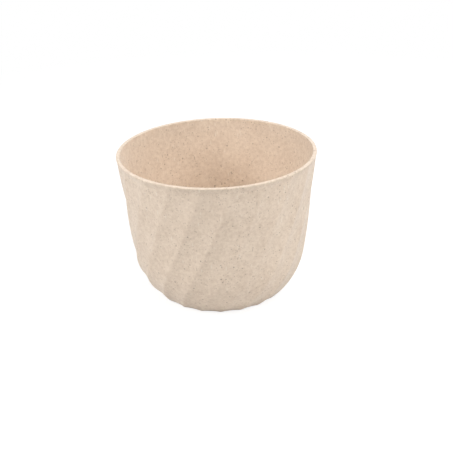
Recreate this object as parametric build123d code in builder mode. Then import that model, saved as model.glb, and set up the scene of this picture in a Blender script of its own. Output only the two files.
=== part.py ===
from build123d import *

import math
import os

# A plant pot with twisted flutes, a loose drain screen on its floor and a plug in its drain hole.
# Millimetres. The origin is the centre of the plane that the pot stands on, with +Z up and the
# front of the pot towards -Y.

# Shell
RIM_RADIUS = 65.0       # outside of the rim lip
HEIGHT = 97.0
WALL = 2.3              # from the ridge tops to the smooth inside, square to the wall
WALL_LEAN = 6.2         # degrees from upright
HEEL_RADIUS = 48.0      # round turn from the wall to the foot
FOOT_RADIUS = 41.0      # where the ridge tops meet the ground
FLOOR_THICKNESS = 2.5
FLOOR_FILLET = 5.0      # inside, between the heel and the floor

# Rim lip
LIP_PROUD = 0.2         # how far the lip stands out from the ridge tops
LIP_HEIGHT = 1.6
LIP_ROUND = 0.6         # rounding of the lip's upper edges

# Flutes
FLUTE_COUNT = 20
FLUTE_DEPTH = 1.1       # below the ridge tops at the rim, and less where the pot is narrower
FLUTE_TWIST = 46.0      # degrees that a flute turns from rim to foot
TWIST_POWER = 1.25      # above 1, the flutes lean more towards the foot
SECTION_COUNT = 13      # level outlines that the fluted surface runs through

# Foot ring and drain hole
FOOT_WIDTH = 3.2
FOOT_HEIGHT = 3.0       # depth of the recess under the floor
NOTCH_COUNT = 3
NOTCH_FIRST_ANGLE = 90.0
NOTCH_WIDTH = 8.0
NOTCH_HEIGHT = 2.0
DRAIN_RADIUS = 7.0

# Drain screen
SCREEN_EDGE_GAP = 7.0   # from the screen's edge to the edge of the flat floor
SCREEN_THICKNESS = 1.6
SCREEN_EDGE_ROUND = 0.5
SCREEN_FOOT_COUNT = 3
SCREEN_FOOT_HEIGHT = 2.0
SCREEN_FOOT_RADIUS = 1.6
SCREEN_HOLE_RADIUS = 1.5
SCREEN_HOLE_PITCH = 6.5

# Drain plug
PLUG_CLEARANCE = 0.08   # radial, between the stem and the drain hole
PLUG_STEM_INSET = 0.3   # below the floor's top
PLUG_STEM_CHAMFER = 0.5
PLUG_FLANGE_OVERLAP = 4.0
PLUG_FLANGE_THICKNESS = 1.2
PLUG_BAR_HEIGHT = 1.2
PLUG_BAR_WIDTH = 2.6
PLUG_BAR_EDGE_GAP = 3.0  # from the bar's ends to the flange's edge

# Ridge line: straight down from the rim, then an arc tangent to it that ends at the foot.
lean = math.radians(WALL_LEAN)
down = Vector(-math.sin(lean), -math.cos(lean))
inward = Vector(-math.cos(lean), math.sin(lean))
wall_top = Vector(RIM_RADIUS - LIP_PROUD, HEIGHT)
from_foot = wall_top + inward * HEEL_RADIUS - Vector(FOOT_RADIUS, 0)
height_along_wall = -from_foot.dot(down)
wall_length = height_along_wall - math.sqrt(height_along_wall**2 - from_foot.length**2 + HEEL_RADIUS**2)
heel_top = wall_top + down * wall_length
heel_centre = heel_top + inward * HEEL_RADIUS
foot_slope = math.asin(heel_centre.Y / HEEL_RADIUS)
ridge_length = wall_length + HEEL_RADIUS * (foot_slope - lean)

# Inside line, parallel to the ridge line, down to the floor.
floor_top = FOOT_HEIGHT + FLOOR_THICKNESS
inner_heel_radius = HEEL_RADIUS - WALL
inner_wall_top = wall_top + inward * WALL
fillet_height = floor_top + FLOOR_FILLET
fillet_slope = math.asin((heel_centre.Y - fillet_height) / (inner_heel_radius - FLOOR_FILLET))
floor_radius = heel_centre.X + (inner_heel_radius - FLOOR_FILLET) * math.cos(fillet_slope)
fillet_middle_slope = (fillet_slope + math.pi / 2) / 2
fillet_middle = (
    floor_radius + FLOOR_FILLET * math.cos(fillet_middle_slope),
    fillet_height - FLOOR_FILLET * math.sin(fillet_middle_slope),
)

# Rim lip: a plain band with both upper edges rounded.
lip_bottom = HEIGHT - LIP_HEIGHT
lip_root = RIM_RADIUS - 2 * WALL
lip_top_edge = RIM_RADIUS - LIP_ROUND
mouth_radius = inner_wall_top.X + LIP_ROUND
rounding_start = HEIGHT - LIP_ROUND
rounding_reach = LIP_ROUND * math.sqrt(0.5)
above_rim = HEIGHT + WALL

# Underside: a recess inside the foot ring, and notches from the recess out past the heel.
foot_inner_radius = FOOT_RADIUS - FOOT_WIDTH
notch_start = foot_inner_radius - FOOT_WIDTH


def heel_point(radius, slope):
    """Point of an arc about the heel's centre, where the wall has this slope from upright."""
    return heel_centre.X + radius * math.cos(slope), heel_centre.Y - radius * math.sin(slope)


def ridge_point(distance):
    """Radius, height and slope from upright of the ridge line, at a distance along it from the rim."""
    if distance > wall_length:
        slope = lean + (distance - wall_length) / HEEL_RADIUS
        return *heel_point(HEEL_RADIUS, slope), slope
    point = wall_top + down * distance
    return point.X, point.Y, lean


def polar_point(radius, degrees):
    angle = math.radians(degrees)
    return radius * math.cos(angle), radius * math.sin(angle)


# Pot shell: the fluted outside, the lip on it, then the hollow and the underside cut out of both.
with BuildPart() as pot_shell:
    flute_pitch = 360 / FLUTE_COUNT
    flute_start = LIP_HEIGHT / 2
    for section in range(SECTION_COUNT):
        distance = flute_start + (ridge_length - flute_start) * section / (SECTION_COUNT - 1)
        radius, height, slope = ridge_point(distance)
        valley_radius = radius - FLUTE_DEPTH * radius / RIM_RADIUS / math.cos(slope)
        turn = -FLUTE_TWIST * (distance / ridge_length) ** TWIST_POWER
        with BuildSketch(Plane.XY.offset(height)):
            with BuildLine():
                for flute in range(FLUTE_COUNT):
                    valley_angle = turn + flute * flute_pitch
                    ThreePointArc(
                        polar_point(radius, valley_angle - flute_pitch / 2),
                        polar_point(valley_radius, valley_angle),
                        polar_point(radius, valley_angle + flute_pitch / 2),
                    )
            make_face()
    loft()

    with BuildSketch(Plane.XZ):
        with BuildLine():
            ThreePointArc(
                (RIM_RADIUS, rounding_start),
                (lip_top_edge + rounding_reach, rounding_start + rounding_reach),
                (lip_top_edge, HEIGHT),
            )
            Polyline(
                (lip_top_edge, HEIGHT),
                (lip_root, HEIGHT),
                (lip_root, lip_bottom),
                (RIM_RADIUS, lip_bottom),
                (RIM_RADIUS, rounding_start),
            )
        make_face()
    revolve(axis=Axis.Z)

    with BuildSketch(Plane.XZ):
        with BuildLine():
            Line((0, floor_top), (floor_radius, floor_top))
            ThreePointArc(
                (floor_radius, floor_top),
                fillet_middle,
                heel_point(inner_heel_radius, fillet_slope),
            )
            ThreePointArc(
                heel_point(inner_heel_radius, fillet_slope),
                heel_point(inner_heel_radius, (lean + fillet_slope) / 2),
                heel_point(inner_heel_radius, lean),
            )
            Line(heel_point(inner_heel_radius, lean), (inner_wall_top.X, rounding_start))
            ThreePointArc(
                (inner_wall_top.X, rounding_start),
                (mouth_radius - rounding_reach, rounding_start + rounding_reach),
                (mouth_radius, HEIGHT),
            )
            Polyline((mouth_radius, HEIGHT), (mouth_radius, above_rim), (0, above_rim), (0, floor_top))
        make_face()
    revolve(axis=Axis.Z, mode=Mode.SUBTRACT)

    with BuildSketch():
        Circle(foot_inner_radius)
    extrude(amount=FOOT_HEIGHT, mode=Mode.SUBTRACT)

    with BuildSketch():
        with PolarLocations(notch_start, NOTCH_COUNT, start_angle=NOTCH_FIRST_ANGLE):
            Rectangle(RIM_RADIUS - notch_start, NOTCH_WIDTH, align=(Align.MIN, Align.CENTER))
    extrude(amount=NOTCH_HEIGHT, mode=Mode.SUBTRACT)

    with BuildSketch(Plane.XY.offset(FOOT_HEIGHT)):
        Circle(DRAIN_RADIUS)
    extrude(amount=FLOOR_THICKNESS, mode=Mode.SUBTRACT)


# Drain screen: a perforated disc on short feet, standing on the floor.
screen_radius = floor_radius - SCREEN_EDGE_GAP
screen_underside = floor_top + SCREEN_FOOT_HEIGHT
hole_ring_count = math.floor((screen_radius - SCREEN_HOLE_PITCH / 2) / SCREEN_HOLE_PITCH)
screen_foot_circle = (hole_ring_count - 0.5) * SCREEN_HOLE_PITCH

with BuildPart() as drain_screen:
    with BuildSketch(Plane.XY.offset(screen_underside)):
        Circle(screen_radius)
    extrude(amount=SCREEN_THICKNESS)
    rim_edges = drain_screen.edges().filter_by(GeomType.CIRCLE)
    fillet(rim_edges, SCREEN_EDGE_ROUND)
    with BuildSketch(Plane.XY.offset(screen_underside)):
        Circle(SCREEN_HOLE_RADIUS)
        for ring in range(1, hole_ring_count + 1):
            holes_in_ring = round(2 * math.pi * ring)
            with PolarLocations(ring * SCREEN_HOLE_PITCH, holes_in_ring):
                Circle(SCREEN_HOLE_RADIUS)
    extrude(amount=SCREEN_THICKNESS, mode=Mode.SUBTRACT)
    with BuildSketch(Plane.XY.offset(floor_top)):
        with PolarLocations(screen_foot_circle, SCREEN_FOOT_COUNT):
            Circle(SCREEN_FOOT_RADIUS)
    extrude(amount=SCREEN_FOOT_HEIGHT)


# Drain plug: a stem in the drain hole, a flange against the floor's underside and a bar to pull it by.
stem_radius = DRAIN_RADIUS - PLUG_CLEARANCE
stem_top = floor_top - PLUG_STEM_INSET
flange_radius = DRAIN_RADIUS + PLUG_FLANGE_OVERLAP
flange_underside = FOOT_HEIGHT - PLUG_FLANGE_THICKNESS
bar_length = 2 * (flange_radius - PLUG_BAR_EDGE_GAP)

with BuildPart() as drain_plug:
    with BuildSketch(Plane.XY.offset(flange_underside)):
        Circle(flange_radius)
    extrude(amount=PLUG_FLANGE_THICKNESS)
    with BuildSketch(Plane.XY.offset(FOOT_HEIGHT)):
        Circle(stem_radius)
    extrude(amount=stem_top - FOOT_HEIGHT)
    stem_end = drain_plug.faces().sort_by(Axis.Z)[-1]
    chamfer(stem_end.edges(), PLUG_STEM_CHAMFER)
    with BuildSketch(Plane.XY.offset(flange_underside)):
        SlotOverall(bar_length, PLUG_BAR_WIDTH)
    extrude(amount=-PLUG_BAR_HEIGHT)


pot_shell.part.label = "pot_shell"
drain_screen.part.label = "drain_screen"
drain_plug.part.label = "drain_plug"

os.makedirs("parts", exist_ok=True)
export_step(pot_shell.part, "parts/pot_shell.step")
export_step(drain_screen.part, "parts/drain_screen.step")
export_step(drain_plug.part, "parts/drain_plug.step")
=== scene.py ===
"""Looks of a plant pot with twisted flutes: a fine shell, its drain screen and plug, in a white studio."""

import math

import bmesh
import bpy
from mathutils import Matrix, Vector


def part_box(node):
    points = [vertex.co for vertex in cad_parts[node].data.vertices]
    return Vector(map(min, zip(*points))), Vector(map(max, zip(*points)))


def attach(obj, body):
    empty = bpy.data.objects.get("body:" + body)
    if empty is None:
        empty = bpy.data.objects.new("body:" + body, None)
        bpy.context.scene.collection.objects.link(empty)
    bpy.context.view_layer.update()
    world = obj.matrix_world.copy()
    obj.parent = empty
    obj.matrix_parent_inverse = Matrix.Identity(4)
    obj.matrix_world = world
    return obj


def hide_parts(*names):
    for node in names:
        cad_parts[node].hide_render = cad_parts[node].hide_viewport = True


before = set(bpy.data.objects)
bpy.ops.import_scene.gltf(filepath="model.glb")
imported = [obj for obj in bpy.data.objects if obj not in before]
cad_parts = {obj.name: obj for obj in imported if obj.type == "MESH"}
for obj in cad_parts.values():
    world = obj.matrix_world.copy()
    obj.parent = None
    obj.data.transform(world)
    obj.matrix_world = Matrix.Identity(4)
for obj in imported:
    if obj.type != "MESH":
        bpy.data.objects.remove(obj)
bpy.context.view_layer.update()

MM = 0.001

# Shell sizes, in metres: the outer ones from the frame, the rest as on the solid.
shell_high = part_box("pot_shell")[1]
RIM_RADIUS = shell_high.x
HEIGHT = shell_high.z
WALL = 2.3 * MM
WALL_LEAN = math.radians(6.2)
HEEL_RADIUS = 48.0 * MM
FOOT_RADIUS = 41.0 * MM
FOOT_WIDTH = 3.2 * MM
FOOT_HEIGHT = 3.0 * MM
FLOOR_THICKNESS = 2.5 * MM
DRAIN_RADIUS = 7.0 * MM
LIP_PROUD = 0.2 * MM
LIP_ROUND = 0.6 * MM

# Flutes: concave between ridges, turning clockwise towards the foot as seen from above.
FLUTE_COUNT = 20
FLUTE_DEPTH = 1.1 * MM
FLUTE_TWIST = math.radians(46.0)
TWIST_POWER = 1.25
FLUTE_FADE = 4.0 * MM       # below the rim, where the flutes start
RIDGE_SOFTNESS = 0.8 * MM
# Columns of half a flute, from its valley at 0 towards the ridge at 1, and closer where it bends most
FLUTE_SAMPLES = (0.0, 0.25, 0.5, 0.67, 0.78, 0.86, 0.92, 0.97)

# Notches of the foot ring
NOTCH_COUNT = 3
NOTCH_FIRST_ANGLE = math.radians(90.0)
NOTCH_WIDTH = 8.0 * MM
NOTCH_HEIGHT = 2.0 * MM
NOTCH_ROUND = 0.6 * MM
NOTCH_ROUND_ROWS = 4

# Screen sizes
screen_low, screen_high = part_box("drain_screen")
SCREEN_RADIUS = screen_high.x
SCREEN_THICKNESS = 1.6 * MM
SCREEN_EDGE_ROUND = 0.5 * MM
SCREEN_FOOT_COUNT = 3
SCREEN_FOOT_RADIUS = 1.6 * MM
SCREEN_FOOT_ROUND = 0.3 * MM
SCREEN_HOLE_RADIUS = 1.5 * MM
SCREEN_HOLE_PITCH = 6.5 * MM
SCREEN_HOLE_ROUND = 0.25 * MM

# Plug sizes
plug_low, plug_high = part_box("drain_plug")
PLUG_FLANGE_RADIUS = plug_high.x
PLUG_CLEARANCE = 0.08 * MM
PLUG_BAR_HEIGHT = 1.2 * MM
PLUG_BAR_WIDTH = 2.6 * MM
PLUG_BAR_EDGE_GAP = 3.0 * MM
PLUG_EDGE_ROUND = 0.4 * MM
PLUG_STEM_ROUND = 0.5 * MM

# Small roundings of the moulded edges
EDGE_SOFT = 0.5 * MM
FLOOR_FILLET = 5.0 * MM
SHARP_ANGLE = math.radians(40)
LEVEL_FACE = 0.9999     # least upright part of a level face's normal

# Mesh rows on each stretch of the shell and round its edges, and sides of the round pieces
WALL_ROWS = 46
HEEL_ROWS = 40
LIP_ROWS = 12
INSIDE_ROWS = 12
EDGE_ROWS = 5
ROUND_SIDES = 96
HOLE_SIDES = 32

# Camera, fitted to the rim ellipse and the outline in the photograph
FRAME_PIXELS = 453
VIEW_ELEVATION = math.radians(24.48)
VIEW_ROLL = math.radians(-2.08)
VIEW_DISTANCE = 668.6 * MM
FOCAL_PIXELS = 1000.0
POT_CENTRE_PIXEL = (218.7, 218.1)
SENSOR_WIDTH = 36.0

# Studio
POT_CENTRE = Vector((0.0, 0.0, HEIGHT / 2))
LAMP_DISTANCE = 1.1
WORLD_LIGHT = 0.22
FLOOR_REACH = 3.0
FLOOR_BOUNCE = 0.72     # share of its light that the floor throws back on the pot
FLOOR_GLOW = 0.8        # plain white part of the floor as it is seen
FLOOR_SHADE = 0.3       # part of it that takes light and shadow
SHADOW_REACH = 0.2      # from here out to FADE_REACH the seen floor turns plain white
FADE_REACH = 0.6

# Features of the moulded materials, as a number of them per metre
CLOUD_SCALE = 60.0
GRAIN_SCALE = 430.0
FIBRE_SCALE = 420.0
BRAN_SCALE = 300.0
SPECK_SCALE = 780.0
HUSK_SCALE = 400.0
RELIEF_SCALE = 1400.0
RAGGED_SCALE = 1300.0
DUST_SCALE = 240.0      # on the rubber
FIBRE_STRETCH = (1.0, 1.0, 0.22)
FIBRE_TURNS = ((0.5, 0.2, 0.0), (-0.9, 0.6, 1.2), (1.4, -0.4, 2.3))

# How strongly each feature shows
CLOUD_SHARE = 0.2
GRAIN_SHARE = 0.8
FIBRE_STRENGTH = 0.5
BRAN_STRENGTH = 0.4
SPECK_STRENGTH = 0.36
HUSK_STRENGTH = 0.5
HUSK_DEPTH = 0.6        # of the relief's own height
RELIEF_HEIGHT = 0.15 * MM
RAGGED_REACH = 0.7 * MM     # how far the flecks' edges wander


# Ridge line and inside line of the wall, as (radius, height)
down = Vector((-math.sin(WALL_LEAN), -math.cos(WALL_LEAN)))
inward = Vector((-math.cos(WALL_LEAN), math.sin(WALL_LEAN)))
wall_top = Vector((RIM_RADIUS - LIP_PROUD, HEIGHT))
from_foot = wall_top + inward * HEEL_RADIUS - Vector((FOOT_RADIUS, 0.0))
height_along_wall = -from_foot.dot(down)
half_chord_squared = height_along_wall**2 - from_foot.length_squared + HEEL_RADIUS**2
wall_length = height_along_wall - math.sqrt(half_chord_squared)
heel_centre = wall_top + down * wall_length + inward * HEEL_RADIUS
foot_slope = math.asin(heel_centre.y / HEEL_RADIUS)
ridge_length = wall_length + HEEL_RADIUS * (foot_slope - WALL_LEAN)
floor_top = FOOT_HEIGHT + FLOOR_THICKNESS
lip_outer_centre = Vector((RIM_RADIUS - LIP_ROUND, HEIGHT - LIP_ROUND))


def arc_point(centre, radius, slope):
    """Point of an arc in (radius, height), where a wall on its outside has this slope from upright."""
    return centre + radius * Vector((math.cos(slope), -math.sin(slope)))


def ridge_point(distance):
    """Point and slope of the ridge line, at a distance along it from the rim."""
    if distance > wall_length:
        slope = WALL_LEAN + (distance - wall_length) / HEEL_RADIUS
        return arc_point(heel_centre, HEEL_RADIUS, slope), slope
    return wall_top + down * distance, WALL_LEAN


def twist(distance):
    """Turn of the flutes about the axis, at a distance along the ridge line from the rim."""
    return -FLUTE_TWIST * (max(distance, 0.0) / ridge_length) ** TWIST_POWER


def smooth_step(value):
    """Soft change from 0 to 1, held at both ends."""
    value = min(max(value, 0.0), 1.0)
    return value * value * (3 - 2 * value)


def smooth_min(first, second, reach):
    """The smaller of two values, rounded off where they are within reach of each other."""
    overlap = max(reach - abs(first - second), 0.0) / reach
    return min(first, second) - overlap * overlap * reach / 4


def hollow_radius(ridge_radius, valley_radius, angle):
    """Radius at an angle from the valley of a level arc through a ridge, the valley and the next ridge."""
    half_pitch = math.pi / FLUTE_COUNT
    depth = ridge_radius * math.cos(half_pitch) - valley_radius
    centre = (ridge_radius**2 - valley_radius**2) / (2 * depth)
    arc_radius = centre - valley_radius
    return centre * math.cos(angle) - math.sqrt(arc_radius**2 - (centre * math.sin(angle)) ** 2)


def wall_point(distance, across):
    """Point of the fluted outside, where across runs from -1 at a ridge by 0 at the valley to 1."""
    ridge, slope = ridge_point(distance)
    half_pitch = math.pi / FLUTE_COUNT
    angle = abs(across) * half_pitch
    depth = FLUTE_DEPTH * ridge.x / RIM_RADIUS / math.cos(slope)
    valley_radius = ridge.x - depth
    # The two hollows meet a little further out, by what smooth_min takes off the ridge.
    edge_radius = ridge.x + RIDGE_SOFTNESS / 4
    here = hollow_radius(edge_radius, valley_radius, angle)
    beyond = hollow_radius(edge_radius, valley_radius, 2 * half_pitch - angle)
    radius = smooth_min(here, beyond, RIDGE_SOFTNESS)
    lip_radius = ridge.x + LIP_PROUD
    fade = smooth_step((distance - LIP_ROUND) / FLUTE_FADE)
    return Vector((lip_radius + (radius - lip_radius) * fade, ridge.y))


def spread(start, end, count):
    """Evenly spaced values from start up to but not including end."""
    return [start + (end - start) * step / count for step in range(count)]


def soften(before, corner, after, reach):
    """Points that round a corner off, from reach before it to reach after it."""
    first = corner + (before - corner).normalized() * reach
    last = corner + (after - corner).normalized() * reach
    points = []
    for step in range(EDGE_ROWS + 1):
        share = step / EDGE_ROWS
        points.append(first * (1 - share) ** 2 + corner * 2 * share * (1 - share) + last * share**2)
    return points


def outside_points(across):
    """Rows of the outside from the foot up to the lip, each a point and its turn about the axis."""
    rows = []
    distances = spread(ridge_length - EDGE_SOFT, wall_length, HEEL_ROWS)
    distances += spread(wall_length, FLUTE_FADE, WALL_ROWS)
    distances += spread(FLUTE_FADE, LIP_ROUND, LIP_ROWS)
    for distance in distances:
        rows.append((wall_point(distance, across), twist(distance)))
    for slope in spread(0.0, -math.pi / 2, LIP_ROWS):
        rows.append((arc_point(lip_outer_centre, LIP_ROUND, slope), twist(LIP_ROUND)))
    return rows


def inside_points():
    """Points of the smooth inside, from the top of the lip down to the drain hole's upper edge."""
    inner_top = wall_top + inward * WALL
    mouth = Vector((inner_top.x + LIP_ROUND, HEIGHT - LIP_ROUND))
    inner_heel = HEEL_RADIUS - WALL
    fillet_rise = heel_centre.y - floor_top - FLOOR_FILLET
    fillet_slope = math.asin(fillet_rise / (inner_heel - FLOOR_FILLET))
    fillet_centre = arc_point(heel_centre, inner_heel - FLOOR_FILLET, fillet_slope)
    points = [lip_outer_centre + Vector((0.0, LIP_ROUND))]
    for share in spread(0.0, 1.0, LIP_ROWS):
        angle = math.pi / 2 * (1 + share)
        points.append(mouth + LIP_ROUND * Vector((math.cos(angle), math.sin(angle))))
    wall_start = Vector((inner_top.x, mouth.y))
    wall_end = arc_point(heel_centre, inner_heel, WALL_LEAN)
    for share in spread(0.0, 1.0, INSIDE_ROWS):
        points.append(wall_start.lerp(wall_end, share))
    for slope in spread(WALL_LEAN, fillet_slope, HEEL_ROWS // 2):
        points.append(arc_point(heel_centre, inner_heel, slope))
    for slope in spread(fillet_slope, math.pi / 2, LIP_ROWS):
        points.append(arc_point(fillet_centre, FLOOR_FILLET, slope))
    floor_edge = Vector((fillet_centre.x, floor_top))
    drain_edge = Vector((DRAIN_RADIUS, floor_top))
    for share in spread(0.0, 1.0, INSIDE_ROWS):
        points.append(floor_edge.lerp(drain_edge + Vector((2 * EDGE_SOFT, 0.0)), share))
    points += soften(floor_edge, drain_edge, Vector((DRAIN_RADIUS, FOOT_HEIGHT)), EDGE_SOFT)
    return points


def underside_points():
    """Points of the underside, from the drain hole's lower edge out to the foot ring's inner edge."""
    drain_edge = Vector((DRAIN_RADIUS, FOOT_HEIGHT))
    corner = Vector((FOOT_RADIUS - FOOT_WIDTH, FOOT_HEIGHT))
    ring_edge = Vector((corner.x, 0.0))
    points = soften(Vector((DRAIN_RADIUS, floor_top)), drain_edge, corner, EDGE_SOFT)
    panel_start = drain_edge + Vector((2 * EDGE_SOFT, 0.0))
    panel_end = corner - Vector((2 * EDGE_SOFT, 0.0))
    for step in range(INSIDE_ROWS + 1):
        points.append(panel_start.lerp(panel_end, step / INSIDE_ROWS))
    points += soften(drain_edge, corner, ring_edge, EDGE_SOFT)
    points += soften(corner, ring_edge, Vector((FOOT_RADIUS, 0.0)), EDGE_SOFT)
    return points


def foot_edge_points(across):
    """Points that round the foot ring's outer edge, which follows the flutes."""
    corner = wall_point(ridge_length, across)
    above = wall_point(ridge_length - EDGE_SOFT, across)
    return soften(Vector((FOOT_RADIUS - FOOT_WIDTH, 0.0)), corner, above, EDGE_SOFT)[:-1]


def shell_rows(across):
    """One closed run of points round the wall's thickness, each with its turn about the axis."""
    foot_turn = twist(ridge_length)
    rows = outside_points(across)
    rim_turn = rows[-1][1]
    rows += [(point, rim_turn) for point in inside_points()]
    underside = underside_points()
    for step, point in enumerate(underside):
        rows.append((point, rim_turn + (foot_turn - rim_turn) * step / (len(underside) - 1)))
    rows += [(point, foot_turn) for point in foot_edge_points(across)]
    return rows


# Meshes


def new_object(name, data):
    """Put a mesh, lamp or camera into the scene."""
    piece = bpy.data.objects.new(name, data)
    bpy.context.scene.collection.objects.link(piece)
    return piece


def finish_mesh(name, work):
    """Turn a working mesh into an object."""
    mesh = bpy.data.meshes.new(name)
    work.to_mesh(mesh)
    work.free()
    return new_object(name, mesh)


def combine(piece, tool, operation):
    """Cut a tool out of the piece or join it on, and drop the tool."""
    change = piece.modifiers.new(tool.name, "BOOLEAN")
    change.operation = operation
    change.solver = "EXACT"
    change.object = tool
    depsgraph = bpy.context.evaluated_depsgraph_get()
    mesh = bpy.data.meshes.new_from_object(piece.evaluated_get(depsgraph))
    piece.modifiers.clear()
    old = piece.data
    piece.data = mesh
    bpy.data.meshes.remove(old)
    bpy.data.objects.remove(tool)
    mesh.name = piece.name


def shade(piece):
    """Shade all but true edges smooth, and keep level faces free of their neighbours' slope."""
    work = bmesh.new()
    work.from_mesh(piece.data)
    for face in work.faces:
        face.smooth = True
    for edge in work.edges:
        kinds = {abs(face.normal.z) > LEVEL_FACE for face in edge.link_faces}
        edge.smooth = edge.calc_face_angle(0.0) < SHARP_ANGLE and len(kinds) == 1
    work.to_mesh(piece.data)
    work.free()


def make_shell():
    """The shell as one closed grid: columns follow the flutes, rows go round the wall's thickness."""
    half = list(FLUTE_SAMPLES) + [1.0]
    samples = [-value for value in reversed(half[1:-1])] + half
    profiles = [shell_rows(across) for across in samples]
    columns = []
    for flute in range(FLUTE_COUNT):
        for across, profile in zip(samples, profiles):
            columns.append((2 * math.pi / FLUTE_COUNT * (flute + across / 2), profile))
    row_count = len(profiles[0])
    vertices = []
    for angle, profile in columns:
        for point, turn in profile:
            direction = angle + turn
            vertices.append((point.x * math.cos(direction), point.x * math.sin(direction), point.y))
    faces = []
    for column in range(len(columns)):
        here = column * row_count
        beside = (column + 1) % len(columns) * row_count
        for row in range(row_count):
            above = (row + 1) % row_count
            faces.append((here + row, beside + row, beside + above, here + above))
    mesh = bpy.data.meshes.new("pot_shell_fine")
    mesh.from_pydata(vertices, [], faces)
    return new_object("pot_shell_fine", mesh)


def notch_cutter():
    """Bars that stand in the foot ring where its notches are, with edges rounded along their length."""
    work = bmesh.new()
    size = Matrix.Diagonal((4 * FOOT_WIDTH, NOTCH_WIDTH, 2 * NOTCH_HEIGHT, 1.0))
    for notch in range(NOTCH_COUNT):
        turn = Matrix.Rotation(NOTCH_FIRST_ANGLE + notch * 2 * math.pi / NOTCH_COUNT, 4, "Z")
        place = turn @ Matrix.Translation((FOOT_RADIUS, 0.0, 0.0)) @ size
        bar = bmesh.ops.create_cube(work, size=1.0, matrix=place)["verts"]
        edges = dict.fromkeys(edge for vertex in bar for edge in vertex.link_edges)
        long_edges = sorted(edges, key=lambda edge: edge.calc_length())[-4:]
        bmesh.ops.bevel(
            work,
            geom=long_edges,
            offset=NOTCH_ROUND,
            segments=NOTCH_ROUND_ROWS,
            profile=0.5,
            affect="EDGES",
        )
    return finish_mesh("notch_cutter", work)


def quarter_round(centre, radius, first, turn):
    """Points of a quarter arc in (radius, height), from a first slope on, where turn is 1 or -1."""
    points = []
    for step in range(EDGE_ROWS + 1):
        points.append(arc_point(centre, radius, first + turn * math.pi / 2 * step / EDGE_ROWS))
    return points


def lower_round(radius, height, rounding):
    """Points of the rounded lower edge of a disc."""
    return quarter_round(Vector((radius - rounding, height + rounding)), rounding, math.pi / 2, -1)


def upper_round(radius, height, rounding):
    """Points of the rounded upper edge of a disc."""
    return quarter_round(Vector((radius - rounding, height - rounding)), rounding, 0.0, -1)


def hole_profile(radius, bottom, top, rounding):
    """Outline of what is cut away for a hole with rounded mouths."""
    mouth = radius + rounding
    points = [Vector((mouth, bottom - rounding))]
    points += quarter_round(Vector((mouth, bottom + rounding)), rounding, math.pi / 2, 1)
    points += quarter_round(Vector((mouth, top - rounding)), rounding, math.pi, 1)
    points.append(Vector((mouth, top + rounding)))
    return points


def add_stack(work, profile, sides, centre=(0.0, 0.0), reach=0.0):
    """Add a closed upright solid: a (radius, height) outline turned about an axis.

    With a reach, it is drawn out along X into a slot shape whose round ends are that far off centre.
    """
    rings = []
    for radius, height in profile:
        ring = []
        for side in range(sides):
            angle = 2 * math.pi * (side + 0.5) / sides
            across = centre[0] + math.copysign(reach, math.cos(angle)) + radius * math.cos(angle)
            ring.append(work.verts.new((across, centre[1] + radius * math.sin(angle), height)))
        rings.append(ring)
    work.faces.new(reversed(rings[0]))
    work.faces.new(rings[-1])
    for lower, upper in zip(rings, rings[1:]):
        for side in range(sides):
            beside = (side + 1) % sides
            work.faces.new((lower[side], lower[beside], upper[beside], upper[side]))


def circle_places(radius, count):
    """Evenly spaced places on a circle about the axis."""
    turns = [2 * math.pi * step / count for step in range(count)]
    return [(radius * math.cos(turn), radius * math.sin(turn)) for turn in turns]


def make_screen():
    """The perforated disc on short feet, with rounded edges and hole mouths."""
    underside = screen_high.z - SCREEN_THICKNESS
    work = bmesh.new()
    edge = lower_round(SCREEN_RADIUS, underside, SCREEN_EDGE_ROUND)
    edge += upper_round(SCREEN_RADIUS, screen_high.z, SCREEN_EDGE_ROUND)
    add_stack(work, edge, ROUND_SIDES)
    screen = finish_mesh("drain_screen_fine", work)

    ring_count = math.floor((SCREEN_RADIUS - SCREEN_HOLE_PITCH / 2) / SCREEN_HOLE_PITCH)
    places = [(0.0, 0.0)]
    for ring in range(1, ring_count + 1):
        places += circle_places(ring * SCREEN_HOLE_PITCH, round(2 * math.pi * ring))
    work = bmesh.new()
    hole = hole_profile(SCREEN_HOLE_RADIUS, underside, screen_high.z, SCREEN_HOLE_ROUND)
    for place in places:
        add_stack(work, hole, HOLE_SIDES, place)
    combine(screen, finish_mesh("screen_holes", work), "DIFFERENCE")

    work = bmesh.new()
    foot = lower_round(SCREEN_FOOT_RADIUS, screen_low.z, SCREEN_FOOT_ROUND)
    foot.append(Vector((SCREEN_FOOT_RADIUS, underside + SCREEN_FOOT_ROUND)))
    for place in circle_places((ring_count - 0.5) * SCREEN_HOLE_PITCH, SCREEN_FOOT_COUNT):
        add_stack(work, foot, HOLE_SIDES, place)
    combine(screen, finish_mesh("screen_feet", work), "UNION")
    return screen


def make_plug():
    """The soft stopper: a stem, a flange under the floor and a bar to pull it by, all with round edges."""
    flange_bottom = plug_low.z + PLUG_BAR_HEIGHT
    stem_radius = DRAIN_RADIUS - PLUG_CLEARANCE
    work = bmesh.new()
    body = lower_round(PLUG_FLANGE_RADIUS, flange_bottom, PLUG_EDGE_ROUND)
    body += upper_round(PLUG_FLANGE_RADIUS, FOOT_HEIGHT, PLUG_EDGE_ROUND)
    body.append(Vector((stem_radius, FOOT_HEIGHT)))
    body += upper_round(stem_radius, plug_high.z, PLUG_STEM_ROUND)
    add_stack(work, body, ROUND_SIDES)
    plug = finish_mesh("drain_plug_fine", work)

    work = bmesh.new()
    bar = lower_round(PLUG_BAR_WIDTH / 2, plug_low.z, PLUG_EDGE_ROUND)
    bar.append(Vector((PLUG_BAR_WIDTH / 2, flange_bottom + PLUG_EDGE_ROUND)))
    reach = PLUG_FLANGE_RADIUS - PLUG_BAR_EDGE_GAP - PLUG_BAR_WIDTH / 2
    add_stack(work, bar, HOLE_SIDES, reach=reach)
    combine(plug, finish_mesh("plug_bar", work), "UNION")
    return plug


# Materials


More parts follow.
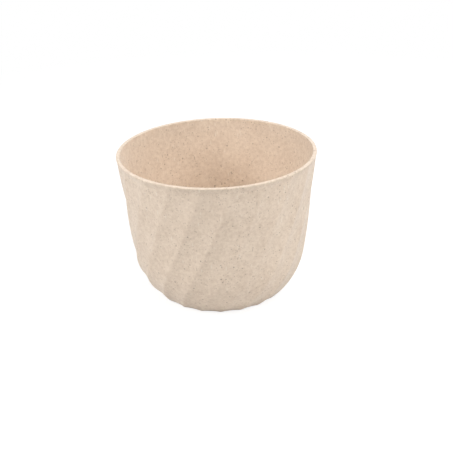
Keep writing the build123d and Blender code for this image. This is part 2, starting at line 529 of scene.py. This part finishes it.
def srgb(red, green, blue):
    """Linear colour from an sRGB one in 0 to 255."""
    def linear(value):
        value /= 255
        return value / 12.92 if value <= 0.04045 else ((value + 0.055) / 1.055) ** 2.4
    return linear(red), linear(green), linear(blue), 1.0


def grey(value):
    """Linear colour of one even value."""
    return value, value, value, 1.0


class Nodes:
    """Short calls for building a node tree."""

    def __init__(self, tree):
        self.tree = tree

    def add(self, kind, inputs=(), **settings):
        node = self.tree.nodes.new(kind)
        for key, value in settings.items():
            setattr(node, key, value)
        for key, value in dict(inputs).items():
            self.feed(node.inputs[key], value)
        return node

    def feed(self, socket, value):
        if isinstance(value, bpy.types.NodeSocket):
            self.tree.links.new(value, socket)
        else:
            socket.default_value = value

    def math(self, operation, first, second=0.0):
        return self.add("ShaderNodeMath", {0: first, 1: second}, operation=operation).outputs[0]

    def ramp(self, value, low, high, start=0.0, end=1.0):
        """Straight change of a value from low..high to start..end, held at both ends."""
        inputs = {"Value": value, "From Min": low, "From Max": high, "To Min": start, "To Max": end}
        return self.add("ShaderNodeMapRange", inputs).outputs["Result"]

    def seen_directly(self):
        """1 where a ray comes from the camera or a clear reflection, and 0 where it only lights."""
        rays = self.add("ShaderNodeLightPath").outputs
        result = self.math("MAXIMUM", rays["Is Camera Ray"], rays["Is Glossy Ray"])
        return self.math("MAXIMUM", result, rays["Is Transmission Ray"])


class MaterialNodes(Nodes):
    """Short calls for building one material, with textures laid out in the piece's own metres."""

    def __init__(self, name):
        self.material = bpy.data.materials.new(name)
        self.material.use_nodes = True
        super().__init__(self.material.node_tree)
        self.shader = self.tree.nodes["Principled BSDF"]
        self.place = self.add("ShaderNodeTexCoord").outputs["Object"]

    def noise(self, scale, detail=2.0, roughness=0.5):
        inputs = {"Vector": self.place, "Scale": scale, "Detail": detail, "Roughness": roughness}
        return self.add("ShaderNodeTexNoise", inputs).outputs["Fac"]

    def mix(self, share, first, second):
        return self.add("ShaderNodeMix", {0: share, 6: first, 7: second}, data_type="RGBA").outputs[2]

    def lay_over(self, colour, mask, strength, second):
        """A colour with a second one laid over it through a mask."""
        return self.mix(self.math("MULTIPLY", mask, strength), colour, second)

    def bump(self, height, strength):
        inputs = {"Height": height, "Strength": strength, "Distance": RELIEF_HEIGHT}
        self.feed(self.shader.inputs["Normal"], self.add("ShaderNodeBump", inputs).outputs["Normal"])

    def turned(self, turn):
        """Places turned and drawn out, so that round flecks laid with them become strands."""
        inputs = {"Vector": self.place, "Rotation": turn, "Scale": FIBRE_STRETCH}
        return self.add("ShaderNodeMapping", inputs).outputs["Vector"]

    def ragged(self):
        """Places that wander a little, so that what is drawn with them has uneven edges."""
        noise = self.add("ShaderNodeTexNoise", {"Vector": self.place, "Scale": RAGGED_SCALE})
        inputs = {0: noise.outputs["Color"], 1: (0.5, 0.5, 0.5)}
        centred = self.add("ShaderNodeVectorMath", inputs, operation="SUBTRACT").outputs[0]
        inputs = {0: centred, 1: (RAGGED_REACH,) * 3, 2: self.place}
        return self.add("ShaderNodeVectorMath", inputs, operation="MULTIPLY_ADD").outputs[0]

    def flecks(self, place, scale, share, smallest, largest, edge):
        """Mask of scattered flecks: a share of the cells have one, between two radii in cell widths."""
        cells = self.add("ShaderNodeTexVoronoi", {"Vector": place, "Scale": scale}).outputs
        chance = self.add("ShaderNodeSeparateColor", {"Color": cells["Color"]}).outputs
        radius = self.ramp(chance["Green"], low=0.0, high=1.0, start=smallest, end=largest)
        mask = self.ramp(self.math("SUBTRACT", radius, cells["Distance"]), low=0.0, high=edge)
        return self.math("MULTIPLY", mask, self.math("LESS_THAN", chance["Red"], share))


def fibre_material(name, pale, deep, fleck, fibre):
    """Moulded plant-fibre composite: a mottled ground with brown flecks and short pale fibres."""
    nodes = MaterialNodes(name)
    cloud = nodes.ramp(nodes.noise(CLOUD_SCALE), low=0.3, high=0.7)
    grain = nodes.noise(GRAIN_SCALE, detail=4.0, roughness=0.7)
    wide_shade = nodes.math("MULTIPLY", cloud, CLOUD_SHARE)
    fine_shade = nodes.ramp(grain, low=0.28, high=0.72, end=GRAIN_SHARE)
    colour = nodes.mix(nodes.math("ADD", wide_shade, fine_shade), deep, pale)

    for turn in FIBRE_TURNS:
        turned = nodes.turned(turn)
        strands = nodes.flecks(turned, FIBRE_SCALE, share=0.4, smallest=0.06, largest=0.22, edge=0.1)
        colour = nodes.lay_over(colour, strands, FIBRE_STRENGTH, fibre)
        bran = nodes.flecks(turned, BRAN_SCALE, share=0.14, smallest=0.04, largest=0.12, edge=0.05)
        colour = nodes.lay_over(colour, bran, BRAN_STRENGTH, fleck)

    ragged = nodes.ragged()
    specks = nodes.flecks(ragged, SPECK_SCALE, share=0.6, smallest=0.1, largest=0.4, edge=0.16)
    husks = nodes.flecks(ragged, HUSK_SCALE, share=0.42, smallest=0.06, largest=0.28, edge=0.08)
    colour = nodes.lay_over(colour, specks, SPECK_STRENGTH, fleck)
    colour = nodes.lay_over(colour, husks, HUSK_STRENGTH, fleck)

    nodes.feed(nodes.shader.inputs["Base Color"], colour)
    roughness = nodes.ramp(grain, low=0.3, high=0.7, start=0.72, end=0.56)
    nodes.feed(nodes.shader.inputs["Roughness"], roughness)
    nodes.shader.inputs["Specular IOR Level"].default_value = 0.5
    nodes.shader.inputs["Sheen Weight"].default_value = 0.2
    nodes.shader.inputs["Sheen Roughness"].default_value = 0.6
    pits = nodes.math("MULTIPLY", husks, HUSK_DEPTH)
    nodes.bump(nodes.math("SUBTRACT", nodes.noise(RELIEF_SCALE, detail=3.0), pits), strength=0.35)
    return nodes.material


def rubber_material(name, tone, bloom):
    """Soft matt rubber with a faint dusty bloom."""
    nodes = MaterialNodes(name)
    dust = nodes.ramp(nodes.noise(DUST_SCALE, detail=4.0, roughness=0.6), low=0.45, high=0.75)
    nodes.feed(nodes.shader.inputs["Base Color"], nodes.mix(dust, tone, bloom))
    roughness = nodes.ramp(dust, low=0.0, high=1.0, start=0.55, end=0.8)
    nodes.feed(nodes.shader.inputs["Roughness"], roughness)
    nodes.bump(nodes.noise(RELIEF_SCALE), strength=0.2)
    return nodes.material


def fit(piece, body, node, material):
    """Put a finished piece on its body, in place of the node that it stands for."""
    shade(piece)
    piece.data.materials.clear()
    piece.data.materials.append(material)
    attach(piece, body)
    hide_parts(node)


# Studio


def area_lamp(name, azimuth, elevation, size, power):
    """A square soft lamp that faces the pot: azimuth in degrees to the right of the camera's side."""
    lamp = bpy.data.lights.new(name, "AREA")
    lamp.size = size
    lamp.energy = power
    piece = new_object(name, lamp)
    turn = Matrix.Rotation(math.radians(azimuth), 3, "Z")
    rise = Matrix.Rotation(math.radians(-elevation), 3, "X")
    piece.location = turn @ rise @ Vector((0.0, -LAMP_DISTANCE, 0.0))
    piece.rotation_euler = (POT_CENTRE - piece.location).to_track_quat("-Z", "Y").to_euler()


def floor_material():
    """White that lights the pot plainly, and is seen as white with a faint shadow near the pot."""
    nodes = MaterialNodes("studio_floor")
    nodes.tree.nodes.remove(nodes.shader)
    bounce = nodes.add("ShaderNodeBsdfDiffuse", {"Color": grey(FLOOR_BOUNCE)}).outputs[0]
    shaded = nodes.add("ShaderNodeBsdfDiffuse", {"Color": grey(FLOOR_SHADE)}).outputs[0]
    glow = nodes.add("ShaderNodeEmission", {"Strength": FLOOR_GLOW}).outputs[0]
    near = nodes.add("ShaderNodeAddShader", {0: shaded, 1: glow}).outputs[0]
    white = nodes.add("ShaderNodeEmission").outputs[0]
    distance = nodes.add("ShaderNodeVectorMath", {0: nodes.place}, operation="LENGTH").outputs["Value"]
    fade = nodes.ramp(distance, SHADOW_REACH, FADE_REACH)
    seen = nodes.add("ShaderNodeMixShader", {0: fade, 1: near, 2: white}).outputs[0]
    surface = nodes.add("ShaderNodeMixShader", {0: nodes.seen_directly(), 1: bounce, 2: seen}).outputs[0]
    nodes.feed(nodes.tree.nodes["Material Output"].inputs["Surface"], surface)
    return nodes.material


def make_floor():
    """A wide level floor, which is stage and no part of the pot."""
    mesh = bpy.data.meshes.new("studio_floor")
    reach = FLOOR_REACH
    corners = [(-reach, -reach, 0.0), (reach, -reach, 0.0), (reach, reach, 0.0), (-reach, reach, 0.0)]
    mesh.from_pydata(corners, [], [(0, 1, 2, 3)])
    mesh.materials.append(floor_material())
    new_object("studio_floor", mesh)


def make_world():
    """Even white light all round, which is plain white where it is seen."""
    world = bpy.data.worlds.new("studio")
    bpy.context.scene.world = world
    world.use_nodes = True
    nodes = Nodes(world.node_tree)
    background = nodes.tree.nodes["Background"]
    background.inputs["Color"].default_value = grey(1.0)
    strength = nodes.ramp(nodes.seen_directly(), low=0.0, high=1.0, start=WORLD_LIGHT)
    nodes.feed(background.inputs["Strength"], strength)


def make_camera():
    """The camera at the photograph's viewing angle, with the pot where it is in the frame."""
    data = bpy.data.cameras.new("camera")
    data.sensor_width = SENSOR_WIDTH
    data.sensor_fit = "HORIZONTAL"
    data.lens = SENSOR_WIDTH * FOCAL_PIXELS / FRAME_PIXELS
    data.shift_x = (FRAME_PIXELS / 2 - POT_CENTRE_PIXEL[0]) / FRAME_PIXELS
    data.shift_y = (POT_CENTRE_PIXEL[1] - FRAME_PIXELS / 2) / FRAME_PIXELS
    camera = new_object("camera", data)
    back = Vector((0.0, -math.cos(VIEW_ELEVATION), math.sin(VIEW_ELEVATION)))
    camera.location = POT_CENTRE + back * VIEW_DISTANCE
    level = (-back).to_track_quat("-Z", "Y").to_matrix()
    camera.rotation_euler = (level @ Matrix.Rotation(VIEW_ROLL, 3, "Z")).to_euler()
    bpy.context.scene.camera = camera


# The pieces, each in place of its solid

shell = make_shell()
combine(shell, notch_cutter(), "DIFFERENCE")
shell_material = fibre_material(
    "fibre_composite",
    pale=srgb(244, 226, 206),
    deep=srgb(214, 192, 170),
    fleck=srgb(132, 100, 74),
    fibre=srgb(246, 235, 220),
)
fit(shell, "pot", "pot_shell", shell_material)

screen_material = fibre_material(
    "screen_composite",
    pale=srgb(184, 162, 136),
    deep=srgb(156, 132, 106),
    fleck=srgb(92, 68, 50),
    fibre=srgb(206, 188, 164),
)
fit(make_screen(), "screen", "drain_screen", screen_material)

plug_material = rubber_material("plug_rubber", tone=srgb(92, 85, 78), bloom=srgb(118, 110, 102))
fit(make_plug(), "plug", "drain_plug", plug_material)

make_floor()
make_world()
area_lamp("key_left", azimuth=-76, elevation=38, size=0.5, power=6.0)
area_lamp("fill_right", azimuth=58, elevation=48, size=1.0, power=7.9)
area_lamp("front_soft", azimuth=-6, elevation=42, size=0.7, power=1.4)
area_lamp("back_soft", azimuth=148, elevation=32, size=0.6, power=3.4)
make_camera()
bpy.context.scene.view_settings.view_transform = "Standard"
